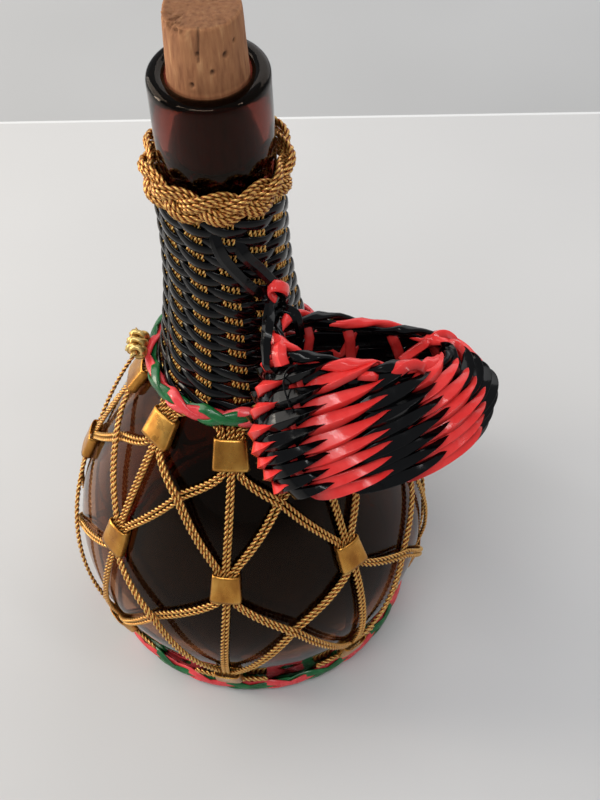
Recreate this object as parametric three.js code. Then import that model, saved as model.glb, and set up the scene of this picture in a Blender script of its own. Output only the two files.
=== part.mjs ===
import * as THREE from "three";

// A glass bottle dressed in a cord net, with a small twined basket hung from its neck.
// Millimetres, +Z up, the front faces -Y. An azimuth runs about +Z from the front, positive to the right.

const TAU = 2 * Math.PI;
const DEG = Math.PI / 180;
const clearance = 0.3;

// Glass
const lipHeight = 228;
const lipRadius = 15;
const lipRound = 1.4;
const boreRadius = 10.3;
const neckRadius = 15.2;
const glassWall = 3.4;
const bulbRadius = 59.6;
const bulbHeight = 37;
const shoulderHeight = 124;
const shoulderRadius = 22.4;
const footRadius = 50.5;
const floorThickness = 5;
const glassSides = 36;

// Cork
const corkRadius = boreRadius - clearance;
const corkTopRadius = 9.3;
const corkAbove = 18;
const corkBelow = 24;

// Gold cord: two twisted strands lie side by side as one double cord
const cordWidth = 2.4;
const cordThickness = 1.3;
const cordLift = 1.1;
const cordCrossing = cordLift + cordThickness + 0.45;

// Net of double cords gathered by folded clips
const columns = 8;
const columnStep = TAU / columns;
const netTurn = -9.3 * DEG;
const netLean = -2.6 * DEG;
const slotPitch = 2.7;
const netBight = 3;
const endDrop = 2.6;
const endReach = 12.5;
const netStep = 9.6;
const netTension = 0.22;
const crossingDown = 0.37;

// Clip: a brass plate folded round three double cords
const clipWall = 0.45;
const clipHeight = 10;
const clipRoom = 0.25;
const clipInnerWidth = 2 * slotPitch + cordWidth + 2 * clipRoom;
const clipInnerDepth = cordThickness + 2 * clipRoom;
const clipSeam = 1.6;
const clipLift = clearance + clipWall + clipRoom + cordThickness / 2;

// Plaits: strands weave across a band round the bottle
const plaitStrand = [1.6, 1.1];
const plaitRise = 1;
const plaitSeat = clearance + plaitStrand[1] / 2 + plaitRise;
const shoulderPlait = {
  height: shoulderHeight - 1,
  sway: 2.4,
  periods: 3.5,
  seat: onGlass,
  lift: cordLift + cordThickness / 2 + plaitSeat,
};
const basePlait = { height: 3.6, sway: 2.4, periods: 6.5, seat: onFoot, lift: plaitSeat };
const plaitReach = shoulderPlait.sway + plaitStrand[0] / 2;
const plaitOuterLift = shoulderPlait.lift + plaitRise + plaitStrand[1] / 2;
const rowHeights = [
  shoulderPlait.height - plaitReach - clipHeight / 2 - 2.4,
  between(bulbHeight, shoulderHeight, 0.402),
  basePlait.height + plaitReach + clipHeight / 2 + 7.6,
];
const netTop = shoulderPlait.height + plaitReach - clearance;
const uprightFoot = basePlait.height + plaitReach + 1;

// Neck: a sleeve of upright cords under a wound strip, with a plaited collar above
const warpThickness = 0.8;
const warpRidge = 0.25;
const warpCords = 24;
const warpFoot = netTop + 1.2;
const stripThickness = 1;
const stripWidth = 3.7;
const stripLift = clearance + warpThickness + clearance + stripThickness / 2;
const wrapOuterLift = stripLift + stripThickness / 2;
const collarPeriods = 11 / 3;
const collarSway = 3.4;
const collarRise = 1.2;
const collarStrand = [2.6, 1.5];
const collarDrop = 28.5;
const collarHeight = lipHeight - collarDrop;
const collarLift = clearance + warpThickness + clearance + collarStrand[1] / 2 + collarRise;
const warpTop = collarHeight + collarSway + collarStrand[0] / 2;
const windingTop = collarHeight - collarSway - collarStrand[0] / 2 - stripWidth - 0.4;
const windingFoot = warpFoot + 3.5;
const windingLoops = 10;
const windingPitch = (windingTop - windingFoot) / windingLoops;
const stepsPerLoop = 24;

// Knot of cord beside the foot of the neck
const knotAzimuth = -98 * DEG;
const knotRadius = 2.2;
const knotLoops = 3;
const knotPitch = 2.9;
const knotCord = 2;
const knotHeight = shoulderPlait.height + 0.4 * knotRadius;

// Basket: an oval tub that leans back against the shoulder
const basketDrop = 10.6;
const basketFoot = new THREE.Vector3(37, -40.2, shoulderHeight - basketDrop);
const basketHeading = 22.8 * DEG;
const basketLean = 26.1 * DEG;
const basketDroop = -11.8 * DEG;
const basketHeight = 37.5;
const basketHalfLength = 37.5;
const basketHalfDepth = 17;
const basketWall = 2.2;
const basketRows = 8;
const basketStakes = 20;
const mouthShift = -2.2;
const mouthTilt = 6.2;
const mouthTiltSide = 159 * DEG;
const basketLift = 3.5;
const footRise = 6;
const basketWeave = 0.35;
const rimTube = 3.4;

// Hanger: two strips from the neck to the basket, gathered by a tube tie
const strapWidth = 4.6;
const strapThickness = 0.8;
const tieSection = [2.4, 0.9];
const tieTurns = 1.15;
const tiePitch = 3.2;
const tieRoom = 0.6;
const strapTop = windingTop - 2.7;
const strapRise = 2;

// Finishes
const amberGlass = { color: 0x4a1d0c, roughness: 0.08, metalness: 0 };
const cork = { color: 0xb98a5a, roughness: 0.9, metalness: 0 };
const goldCord = { color: 0xc8963c, roughness: 0.45, metalness: 0.35 };
const brass = { color: 0xb79a45, roughness: 0.3, metalness: 1 };
const blackStrip = { color: 0x1e2022, roughness: 0.35, metalness: 0 };
const redTube = { color: 0xe14b45, roughness: 0.35, metalness: 0 };
const greenTube = { color: 0x1e6e3c, roughness: 0.35, metalness: 0 };

const bottle = new THREE.Group();
bottle.name = "cord_wrapped_bottle";

function addPiece(name, geometry, finish) {
  const mesh = new THREE.Mesh(geometry, new THREE.MeshStandardMaterial(finish));
  mesh.name = name;
  bottle.add(mesh);
  return mesh;
}

// A skin over rows of points: each row closes on itself, and the rows close too or end in flat caps.
function skin(rows, sides, place, closed) {
  const points = [];
  const faces = [];
  for (let i = 0; i < rows; i++)
    for (let j = 0; j < sides; j++) points.push(...place(i, j).toArray());
  const spans = closed ? rows : rows - 1;
  for (let i = 0; i < spans; i++)
    for (let j = 0; j < sides; j++) {
      const here = i * sides;
      const next = ((i + 1) % rows) * sides;
      const k = (j + 1) % sides;
      faces.push(here + j, here + k, next + k, here + j, next + k, next + j);
    }
  const last = (rows - 1) * sides;
  for (let j = 1; j < sides - 1 && !closed; j++)
    faces.push(0, j + 1, j, last, last + j, last + j + 1);
  const geometry = new THREE.BufferGeometry();
  geometry.setAttribute("position", new THREE.Float32BufferAttribute(points, 3));
  geometry.setIndex(faces);
  geometry.computeVertexNormals();
  return geometry;
}

// Outline of the glass from the foot to the lip, as a smooth curve through its stations.
const footToBulb = (r, z) => [between(footRadius, bulbRadius, r), bulbHeight * z];
const shoulderToBulb = (r, z) => [
  between(shoulderRadius, bulbRadius, r),
  between(bulbHeight, shoulderHeight, z),
];
const neckStation = (r, z) => [
  between(neckRadius, shoulderRadius, r),
  between(shoulderHeight, lipHeight, z),
];
const outline = new THREE.SplineCurve(
  [
    [footRadius, 0],
    footToBulb(0.209, 0.06),
    footToBulb(0.297, 0.216),
    footToBulb(0.45, 0.432),
    [bulbRadius, bulbHeight],
    shoulderToBulb(0.93, 0.224),
    shoulderToBulb(0.667, 0.502),
    shoulderToBulb(0.349, 0.759),
    [shoulderRadius, shoulderHeight],
    neckStation(0.306, 0.221),
    neckStation(0, 0.452),
    neckStation(0, 0.731),
    [lipRadius, lipHeight - lipRound],
  ].map(([r, z]) => new THREE.Vector2(r, z)),
).getPoints(25);

function radiusAt(z) {
  const i = Math.max(1, outline.findIndex((p) => p.y > z));
  const lower = outline[i - 1];
  const upper = outline[i];
  if (z > outline.at(-1).y) return lipRadius;
  return lower.x + ((upper.x - lower.x) * (z - lower.y)) / (upper.y - lower.y);
}

function between(from, to, part) {
  return from + (to - from) * part;
}

function around(a, r, z) {
  return new THREE.Vector3(r * Math.sin(a), -r * Math.cos(a), z);
}

// A place lifted off the glass along its outward direction.
function onGlass(a, z, lift) {
  const slope = (radiusAt(z + 1) - radiusAt(z - 1)) / 2;
  const out = around(a, 1, -slope).normalize();
  return { at: around(a, radiusAt(z), z).addScaledVector(out, lift), out };
}

// A place round the foot, lifted straight out from the widest glass behind the base plait.
function onFoot(a, z, lift) {
  const out = around(a, 1, 0);
  const top = basePlait.height + basePlait.sway;
  return { at: around(a, radiusAt(top) + lift, z), out };
}

function frames(places, closed) {
  const n = places.length;
  return places.map(({ at, out }, i) => {
    const before = places[closed ? (i + n - 1) % n : Math.max(i - 1, 0)].at;
    const after = places[closed ? (i + 1) % n : Math.min(i + 1, n - 1)].at;
    const along = after.clone().sub(before).normalize();
    const up = out.clone().addScaledVector(along, -out.dot(along)).normalize();
    return { at, up, side: up.clone().cross(along) };
  });
}

function oval([width, thickness], sides) {
  return Array.from({ length: sides }, (_, j) => [
    (width / 2) * Math.cos((j * TAU) / sides),
    (thickness / 2) * Math.sin((j * TAU) / sides),
  ]);
}

function slab([width, thickness]) {
  const w = width / 2;
  const t = thickness / 2;
  return [
    [w, -t],
    [w, t],
    [-w, t],
    [-w, -t],
  ];
}

function tube(places, section, closed = false) {
  const rows = frames(places, closed);
  const place = (i, j) =>
    rows[i].at
      .clone()
      .addScaledVector(rows[i].side, section[j][0])
      .addScaledVector(rows[i].up, section[j][1]);
  return skin(rows.length, section.length, place, closed);
}

// Both ends run on straight for the given length.
function withStraightEnds(places, length) {
  const reach = (end, inner) => {
    const along = end.at.clone().sub(inner.at).normalize();
    return { at: end.at.clone().addScaledVector(along, length), out: end.out };
  };
  return [reach(places[0], places[1]), ...places, reach(places.at(-1), places.at(-2))];
}

// Least clear space between places of one tube that lie at least half a loop apart.
function leastGap(places, perLoop, width) {
  let least = Infinity;
  for (let i = 0; i < places.length; i++)
    for (let j = i + perLoop / 2; j < places.length; j++)
      least = Math.min(least, places[i].at.distanceTo(places[j].at) - width);
  return least;
}

function buildGlass() {
  const rim = [
    [lipRadius - 0.3 * lipRound, lipHeight - 0.3 * lipRound],
    [lipRadius - lipRound, lipHeight],
    [boreRadius + 0.6 * lipRound, lipHeight],
    [boreRadius, lipHeight - 0.6 * lipRound],
  ];
  const inner = outline
    .filter((p) => p.y > 1.6 * floorThickness && p.y < lipHeight - lipRadius)
    .reverse()
    .filter((_, i) => i % 2 === 0)
    .map((p) => [Math.max(boreRadius, p.x - glassWall * (p.y < shoulderHeight ? 1.25 : 1)), p.y]);
  const floor = [
    [0.935 * footRadius, 1.4 * floorThickness],
    [0.8 * footRadius, floorThickness],
  ];
  const profile = [...outline.map((p) => [p.x, p.y]), ...rim, ...inner, ...floor];
  const place = (i, j) => around((j * TAU) / glassSides, profile[i][0], profile[i][1]);
  addPiece("glass_bottle", skin(profile.length, glassSides, place), amberGlass);
}

function buildCork() {
  const sides = 28;
  const profile = [
    [corkRadius - 0.9, lipHeight - corkBelow],
    [corkRadius - 0.3, lipHeight - corkBelow + 1],
    [corkRadius, lipHeight],
    [corkTopRadius, lipHeight + corkAbove - 0.8],
    [corkTopRadius - 0.8, lipHeight + corkAbove],
  ];
  const place = (i, j) => around((j * TAU) / sides, profile[i][0], profile[i][1]);
  addPiece("cork_stopper", skin(profile.length, sides, place), cork);
}

// The upright cords of the neck, side by side as one ribbed sleeve.
function buildWarp() {
  const sides = 2 * warpCords;
  const levels = 6;
  const place = (i, j) => {
    const outer = i < levels;
    const step = outer ? i : 2 * levels - 1 - i;
    const z = warpFoot + ((warpTop - warpFoot) * step) / (levels - 1);
    const rib = outer ? warpThickness - warpRidge * (j % 2) : 0;
    return onGlass((j * TAU) / sides, z, clearance + rib).at;
  };
  addPiece("neck_warp", skin(2 * levels, sides, place, true), goldCord);
}

function buildWinding() {
  const places = [];
  for (let i = 0; i <= windingLoops * stepsPerLoop; i++) {
    const turns = i / stepsPerLoop;
    places.push(onGlass(turns * TAU, windingTop - turns * windingPitch, stripLift));
  }
  const gap = leastGap(places, stepsPerLoop, stripWidth);
  console.log("neck winding, least gap to itself", gap.toFixed(2), "mm");
  const strip = withStraightEnds(places, stripWidth);
  addPiece("neck_winding", tube(strip, oval([stripWidth, stripThickness], 6)), blackStrip);
}

// Three strands of cord plaited round the top of the neck: one cord that goes round three times.
function buildCollar() {
  const laps = 3;
  const steps = laps * 34;
  const places = Array.from({ length: steps }, (_, i) => {
    const turns = (laps * i) / steps;
    const u = turns * collarPeriods * TAU;
    const z = collarHeight + collarSway * Math.sin(u);
    return onGlass(turns * TAU, z, collarLift + collarRise * Math.sin(2 * u));
  });
  addPiece("collar_plait", tube(places, oval(collarStrand, 6), true), goldCord);
}

// Sway and rise of a strand in a flat plait of four, over one period.
function plaitSway(u) {
  const t = u - Math.floor(u);
  return 1 - 4 * Math.abs(t - 0.5);
}

function plaitRiseAt(u) {
  const t = u - Math.floor(u);
  const crossing = Math.cos(4 * TAU * (t - 0.125));
  const side = t < 0.5 ? 1 : -1;
  const edge = Math.abs(plaitSway(u));
  if (edge <= 0.5) return side * crossing;
  return side * Math.cos((edge - 0.5) * Math.PI);
}

// Two strands of one colour: a single tube that goes round twice, half a period out of step with itself.
function plaitLoop(plait, phase) {
  const laps = 2;
  const steps = laps * plait.periods * 8;
  const places = Array.from({ length: steps }, (_, i) => {
    const turns = (laps * i) / steps;
    const u = turns * plait.periods + phase;
    const z = plait.height + plait.sway * plaitSway(u);
    return plait.seat(turns * TAU, z, plait.lift + plaitRise * plaitRiseAt(u));
  });
  return tube(places, oval(plaitStrand, 4), true);
}

function buildPlaits() {
  addPiece("shoulder_plait_red", plaitLoop(shoulderPlait, 0), redTube);
  addPiece("shoulder_plait_green", plaitLoop(shoulderPlait, 0.25), greenTube);
  addPiece("base_plait_red", plaitLoop(basePlait, 0), redTube);
  addPiece("base_plait_green", plaitLoop(basePlait, 0.25), greenTube);
}

function columnAzimuth(column, row) {
  return netTurn + column * columnStep + row * netLean;
}

// A double cord in one of the three slots of a clip: two places, above and below the clip.
function throughClip(column, row, slot) {
  const reach = clipHeight / 2 + 0.8;
  return [reach, -reach].map((dz) => {
    const z = rowHeights[row] + dz;
    return { a: columnAzimuth(column, row) + (slot * slotPitch) / radiusAt(z), z, lift: clipLift };
  });
}

// The cords hang evenly spaced from behind the shoulder plait and draw together below it.
function underPlait(column, side) {
  const low = shoulderPlait.height - shoulderPlait.sway;
  const high = side ? netTop - netBight : netTop;
  return [high, low].map((z) => ({
    a: columnAzimuth(column, -0.3) + ((z === high ? 1 : 0.8) * side * columnStep) / 3,
    z,
    lift: cordLift,
  }));
}

function crossing(column, side, row) {
  const over = (side > 0) === (row === 0);
  return {
    a: columnAzimuth(column + side / 2, row + 0.5),
    z: rowHeights[row] + crossingDown * (rowHeights[row + 1] - rowHeights[row]),
    lift: over ? cordCrossing : cordLift,
  };
}

// One leg of the net: by way of the next column's middle clip back to its own lowest clip, where it turns
// aside and ends.
function netLeg(column, side) {
  const z = rowHeights[2] - clipHeight / 2 - endDrop;
  const end = (reach) => ({
    a: columnAzimuth(column, 2) + (side * reach) / radiusAt(z),
    z,
    lift: cordLift,
  });
  return [
    ...underPlait(column, side),
    ...throughClip(column, 0, side),
    crossing(column, side, 0),
    ...throughClip(column + side, 1, -side),
    crossing(column, side, 1),
    ...throughClip(column, 2, side),
    end(endReach / 2),
    end(endReach),
  ];
}

// A smooth run over the glass through its stations, straight inside the clips.
function alongGlass(stations) {
  const scale = bulbRadius;
  const knots = stations.map((s) => new THREE.Vector3(s.a * scale, s.z, s.lift));
  const curve = new THREE.CatmullRomCurve3(knots, false, "catmullrom", netTension);
  const places = [];
  knots.forEach((knot, i) => {
    const next = knots[i + 1];
    const steps = next ? Math.max(1, Math.floor(knot.distanceTo(next) / netStep)) : 1;
    for (let k = 0; k < steps; k++) {
      const p = curve.getPoint((i + k / steps) / (knots.length - 1));
      places.push(onGlass(p.x / scale, p.y, p.z));
    }
  });
  return places;
}

function buildNet() {
  const section = oval([cordWidth, cordThickness], 6);
  for (let c = 0; c < columns; c++) {
    const letter = "abcdefgh"[c];
    const bight = { a: columnAzimuth(c + 0.5, -0.3), z: netTop, lift: cordLift };
    const loop = [...netLeg(c, 1).reverse(), bight, ...netLeg(c + 1, -1)];
    addPiece("net_loop_" + letter, tube(alongGlass(loop), section), goldCord);
    const upright = [
      ...underPlait(c, 0),
      ...rowHeights.flatMap((_, row) => throughClip(c, row, 0)),
      { a: columnAzimuth(c, 2.1), z: uprightFoot, lift: cordLift },
    ];
    addPiece("net_upright_" + letter, tube(alongGlass(upright), section), goldCord);
    rowHeights.forEach((_, row) => addClip(c, row, "net_clip_" + (row + 1) + letter));
  }
}

// Folded plate: closed at the front and the sides, its two flaps meet at the back.
function clipShape() {
  const w = clipInnerWidth / 2;
  const d = clipInnerDepth;
  const t = clipWall;
  const s = clipSeam / 2;
  const corners = [
    [s, 0],
    [w + t, 0],
    [w + t, d + 2 * t],
    [-w - t, d + 2 * t],
    [-w - t, 0],
    [-s, 0],
    [-s, t],
    [-w, t],
    [-w, d + t],
    [w, d + t],
    [w, t],
    [s, t],
  ];
  return new THREE.Shape(corners.map(([x, y]) => new THREE.Vector2(x, y)));
}

function addClip(column, row, name) {
  const a = columnAzimuth(column, row);
  const z = rowHeights[row];
  const { at, out } = onGlass(a, z, clearance);
  const upper = onGlass(a, z + 1, clearance).at;
  const down = at.clone().sub(upper).normalize();
  const up = out.clone().addScaledVector(down, -out.dot(down)).normalize();
  const side = up.clone().cross(down);
  const geometry = new THREE.ExtrudeGeometry(clipShape(), { depth: clipHeight, bevelEnabled: false });
  const start = at.clone().addScaledVector(down, -clipHeight / 2);
  geometry.applyMatrix4(new THREE.Matrix4().makeBasis(side, up, down).setPosition(start));
  addPiece(name, geometry, brass);
}

// A short coil of thick cord that stands beside the neck.
function buildKnot() {
  const perLoop = 10;
  const seat = onGlass(knotAzimuth, knotHeight, plaitOuterLift - clearance + knotRadius + knotCord / 2);
  const along = new THREE.Vector3(Math.cos(knotAzimuth), Math.sin(knotAzimuth), 0);
  const up = along.clone().cross(seat.out).normalize();
  const places = Array.from({ length: knotLoops * perLoop + 1 }, (_, i) => {
    const turns = i / perLoop;
    const out = seat.out
      .clone()
      .multiplyScalar(Math.cos(turns * TAU))
      .addScaledVector(up, Math.sin(turns * TAU));
    const at = seat.at
      .clone()
      .addScaledVector(out, knotRadius)
      .addScaledVector(along, (turns - knotLoops / 2) * knotPitch);
    return { at, out };
  });
  console.log("knot, least gap to itself", leastGap(places, perLoop, knotCord).toFixed(2), "mm");
  addPiece("gold_knot", tube(withStraightEnds(places, knotCord), oval([knotCord, knotCord], 6)), goldCord);
}

// Basket frame: x along the mouth to the right, y back towards the neck, z up to the mouth.
function basketFrame() {
  const along = new THREE.Vector3(Math.cos(basketHeading), Math.sin(basketHeading), 0);
  const out = new THREE.Vector3(Math.sin(basketHeading), -Math.cos(basketHeading), 0);
  const rise = new THREE.Vector3(0, 0, Math.cos(basketLean)).addScaledVector(out, -Math.sin(basketLean));
  const x = along
    .clone()
    .multiplyScalar(Math.cos(basketDroop))
    .addScaledVector(rise, Math.sin(basketDroop));
  const z = rise.clone().multiplyScalar(Math.cos(basketDroop)).addScaledVector(along, -Math.sin(basketDroop));
  return new THREE.Matrix4().makeBasis(x, z.clone().cross(x), z).setPosition(basketFoot);
}

const girthStation = (x, y, s) => new THREE.Vector3(x * basketHalfLength, y * basketHalfDepth, s);
const basketGirth = new THREE.CatmullRomCurve3([
  girthStation(0.773, 0.706, 0),
  girthStation(0.907, 0.906, 0.14),
  girthStation(1, 1, 0.5),
  girthStation(0.867, 0.918, 0.82),
  girthStation(0.741, 0.794, 1),
]);

// The mouth tilts up to the left, the hanger pulls it up further at the back left, and the right end of the
// foot is drawn up.
const hangerSide = 140 * DEG;

function basketRing(s, angle, inset) {
  const girth = basketGirth.getPoint(s);
  const upper = Math.max(0, 2 * s - 1);
  const lower = Math.max(0, 1 - 2 * s);
  const pull = basketLift * Math.max(0, Math.cos(angle - hangerSide)) ** 3;
  const tilt = mouthTilt * Math.cos(angle - mouthTiltSide);
  const drawnUp = footRise * Math.max(0, Math.cos(angle)) ** 2;
  return new THREE.Vector3(
    (girth.x - inset) * Math.cos(angle) + mouthShift * upper,
    (girth.y - inset) * Math.sin(angle),
    girth.z * basketHeight + (pull + tilt) * upper + drawnUp * lower,
  );
}

function buildBasket() {
  const frame = basketFrame();
  const sides = 2 * basketStakes;
  const outerRows = 2 * basketRows + 1;
  const innerRows = 5;
  const place = (i, j) => {
    const angle = (j * TAU) / sides;
    if (i < outerRows) {
      const row = Math.floor(i / 2);
      const swell = i % 2 ? basketWeave * ((row + j) % 2 ? 1 : -1) : -2 * basketWeave;
      return basketRing(i / (outerRows - 1), angle, -swell).applyMatrix4(frame);
    }
    const s = 1 - ((i - outerRows) / (innerRows - 1)) * 0.92;
    return basketRing(s, angle, basketWall).applyMatrix4(frame);
  };
  addPiece("basket_body", skin(outerRows + innerRows, sides, place), redTube);
  buildRim(frame, sides);
}

function buildRim(frame, sides) {
  const up = new THREE.Vector3().setFromMatrixColumn(frame, 2);
  const places = Array.from({ length: sides }, (_, j) => {
    const at = basketRing(1, (j * TAU) / sides, basketWall / 2);
    at.z += clearance + rimTube / 3;
    return { at: at.applyMatrix4(frame), out: up };
  });
  addPiece("basket_rim", tube(places, oval([rimTube, (2 * rimTube) / 3], 6), true), blackStrip);
}

// Stations of the hanger: down the neck, then over the rim and into the basket.
function strapPlaces() {
  const onWrap = wrapOuterLift + clearance + strapThickness / 2;
  const underTie = onWrap + tieRoom + tieSection[1];
  const frame = basketFrame();
  const back = new THREE.Vector3().setFromMatrixColumn(frame, 1);
  const up = new THREE.Vector3().setFromMatrixColumn(frame, 2);
  const hook = (inset, rise) => {
    const at = basketRing(1, hangerSide, inset * rimTube);
    at.z += rise;
    return at.applyMatrix4(frame);
  };
  const over = rimTube * 0.67 + 2 * clearance + strapThickness / 2;
  const rim = [
    { at: hook(-0.47, over + 0.3), out: up.clone().add(back) },
    { at: hook(0.35, over + 0.5), out: up },
    { at: hook(1.18, over - 1.2), out: up.clone().sub(back) },
    { at: hook(1.35, -1.18 * rimTube), out: back.clone().negate() },
  ];
  const strapFoot = rim[0].at.z + strapRise;
  const onNeck = (degrees, part, lift) =>
    onGlass(degrees * DEG, between(strapTop, strapFoot, part), lift);
  const neck = [
    onNeck(6, 0, onWrap),
    onNeck(16, 0.27, onWrap + 0.3),
    onNeck(27, 0.53, underTie),
    onNeck(39, 0.78, underTie),
    onNeck(47, 1, underTie + 1),
  ];
  return [...neck, ...rim];
}

function buildHanger() {
  const stations = strapPlaces();
  const path = new THREE.CatmullRomCurve3(stations.map((s) => s.at), false, "centripetal");
  const outs = new THREE.CatmullRomCurve3(stations.map((s) => s.out.clone().normalize()));
  const steps = 2 * (stations.length - 1);
  const places = Array.from({ length: steps + 1 }, (_, i) => ({
    at: path.getPoint(i / steps),
    out: outs.getPoint(i / steps),
  }));
  addPiece("hanger_strap", tube(places, slab([strapWidth, strapThickness])), blackStrip);
  buildTie(frames(places, false)[6]);
}

// A flattened tube curled once round the strap.
function buildTie(seat) {
  const along = seat.side.clone().cross(seat.up);
  const reach = strapWidth / 2 + tieRoom + tieSection[1];
  const height = strapThickness / 2 + tieRoom + tieSection[1] / 2;
  const steps = 22;
  const places = Array.from({ length: steps + 1 }, (_, i) => {
    const turns = tieTurns * (i / steps - 0.5);
    const angle = turns * TAU - Math.PI / 2;
    const out = seat.side
      .clone()
      .multiplyScalar(Math.cos(angle) / reach)
      .addScaledVector(seat.up, Math.sin(angle) / height)
      .normalize();
    const at = seat.at
      .clone()
      .addScaledVector(seat.side, reach * Math.cos(angle))
      .addScaledVector(seat.up, height * Math.sin(angle))
      .addScaledVector(along, turns * tiePitch);
    return { at, out };
  });
  addPiece("hanger_tie", tube(places, oval(tieSection, 6)), redTube);
}

buildGlass();
buildCork();
buildWarp();
buildWinding();
buildCollar();
buildPlaits();
buildNet();
buildKnot();
buildBasket();
buildHanger();

export default bottle;
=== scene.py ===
import math

import bpy
import numpy as np
from mathutils import Matrix, Vector, noise


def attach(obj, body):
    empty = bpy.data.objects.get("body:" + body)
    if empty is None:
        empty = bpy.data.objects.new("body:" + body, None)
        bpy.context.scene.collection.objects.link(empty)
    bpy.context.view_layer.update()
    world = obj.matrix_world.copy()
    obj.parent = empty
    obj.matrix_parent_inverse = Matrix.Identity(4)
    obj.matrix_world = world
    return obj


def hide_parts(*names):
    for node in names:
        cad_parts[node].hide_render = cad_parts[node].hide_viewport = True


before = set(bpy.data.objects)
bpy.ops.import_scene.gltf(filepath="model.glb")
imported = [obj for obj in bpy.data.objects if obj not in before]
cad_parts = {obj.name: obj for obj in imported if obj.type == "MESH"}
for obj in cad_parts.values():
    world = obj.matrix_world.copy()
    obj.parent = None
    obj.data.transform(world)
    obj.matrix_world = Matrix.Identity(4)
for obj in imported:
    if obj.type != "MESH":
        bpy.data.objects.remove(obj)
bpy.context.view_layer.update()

# Lengths are millimetres here and become metres when a mesh is made. +Z is up and the front faces -Y.
# An azimuth runs about +Z from the front, positive to the right.
TAU = 2 * math.pi
DEG = math.pi / 180
MM = 0.001
LETTERS = "abcdefgh"
chance = np.random.default_rng(7)

# Camera: its angles are radians
camera_at = (0, -242.13, 414.52)
camera_yaw = 0.07604
camera_pitch = 0.91923
camera_roll = -0.04262
camera_lens = 56.25
camera_sensor = 36

# Stage: a table whose back edge runs slightly askew, a strip along that edge painted lighter as a painted
# highlight, and a lower floor beyond it
table_back = 255
table_skew = 0.116
stage_reach = 3000
edge_width = 4
edge_drop = 2
beyond_drop = 30

# Light: soft lamps as (name, place, size, watts, colour), all aimed at the same place on the bottle's axis
light_aim = (0, 0, 90)
sky_colour = (236, 240, 246)
sky_strength = 0.4
lamps = [
    ("window", (-700, 420, 560), (700, 800), 4.7, (1, 0.95, 0.87)),
    ("side", (-950, 160, 270), (200, 500), 3.5, (1, 0.91, 0.78)),
    ("back", (420, 640, 520), (900, 700), 2.6, (1, 1, 1)),
    ("fill", (-260, -560, 1150), (560, 420), 2.3, (1, 1, 1)),
    ("strip", (-220, -260, 880), (700, 60), 1.4, (1, 1, 1)),
    ("lamp", (620, -430, 860), (150, 150), 0.7, (1, 1, 1)),
]

# Glass
lip_height = 228
lip_radius = 15
lip_round = 1.4
bore_radius = 10.3
neck_radius = 15.2
glass_wall = 3.4
bulb_radius = 59.6
bulb_height = 37
shoulder_height = 124
shoulder_radius = 22.4
foot_radius = 50.5
floor_thickness = 5
glass_sides = 120

# Cork: its pits are (degrees, height, size, depth)
cork_radius = 10
cork_top_radius = 9.3
cork_above = 18
cork_below = 24
cork_round = 0.8
cork_sides = 200
cork_levels = 96
cork_pits = [
    (27, 238, 0.8, 0.7),
    (6, 234.3, 0.7, 0.6),
    (-24, 230.7, 0.65, 0.6),
    (-13, 239.3, 0.55, 0.5),
    (44, 240.5, 0.5, 0.5),
]
pit_stretch = 1.3
crack_length = 9
crack_degrees = (-8, -12.2)
crack_half_width = 0.4
crack_depth = 0.5
chip_azimuth = -62 * DEG
chip_spread = 0.5
chip_height = 3.6

# Gold cord: two twisted cords lie side by side as one double cord, closer together inside a clip
cord_radius = 0.76
cord_apart = 1.7
cord_apart_in_clip = 1.3
cord_lay = 3.6
cord_stagger = 0.3
cord_step = 0.55
cord_sides = 8
cord_lift = 1.1
cord_crossing = 2.85

# Net
columns = 8
column_step = TAU / columns
net_turn = -9.3 * DEG
net_lean = -2.6 * DEG
row_heights = [112.4, 71.97, 19.4]
slot_pitch = 2.7
net_top = 125.9
net_bight = 3
net_low = 120.6
upright_foot = 7.8
cut_end_drop = 2.6
cut_end_reach = 12.5
net_tension = 0.22
crossing_down = 0.37

# Clip: its width at the top and at the bottom for each row
clip_widths = [(8.8, 10.3), (7.7, 9.2), (8.0, 8.8)]
clip_depth = 2.7
clip_wall = 0.45
clip_height = 10
clip_lift = 1.65
clip_stand_off = 0.3
clip_seam = 1.6
clip_bulge = 0.3
clip_corner = 0.85
clip_bevel = 0.16
clip_skew = 2.5
clip_pinch = 0.012
clip_way_in = 0.8

# Neck
warp_groups = 12
warp_per_group = 4
warp_spacing = 1.3
warp_radius = 0.58
warp_foot = 127.1
warp_top = 200.6
warp_lift = 1.25
warp_step = 0.8
winding_top = 190.7
winding_foot = 130.6
winding_loops = 10
winding_width = 3.35
winding_thickness = 1.0
winding_slant = 1.35
winding_lift = 1.3
winding_swell = 0.75
winding_ends = (-0.6, 1.15)

# Collar: three strands, each a few cords wide
collar_laps = 3
collar_height = 199.3
collar_sway = 3.0
collar_rise = 1.25
collar_lift = 3.2
collar_lobes = 11
collar_cords = 4
collar_spacing = 1.12
collar_cord = 0.66
collar_lay = 3.6
collar_bow = 0.7
collar_relief = 0.28
collar_step = 0.62
collar_stagger = 0.9

# Plaits of flat tube: (height, lift of the middle, chevrons, size)
shoulder_plait = (123, 3.45, 14, 1)
base_plait = (4.5, 1.1, 24, 0.78)
plait_half_height = 1.7
plait_half_depth = 0.85
plait_over = 0.32
plait_early = 0.12
plait_core = 1.0
plait_facing = 1.2
plait_tube = (3.1, 1.25)
plait_step = 0.6
foot_widest = 6.0

# Knot
knot_azimuth = -98 * DEG
knot_height = 123.88
knot_lift = 8.05
knot_radius = 2.1
knot_loops = 3
knot_pitch = 2.9
knot_cord = 1.65
knot_lay = 9
knot_tail = 0.15
knot_tuck = (0.35, 0.25)
knot_step = 0.6

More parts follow.
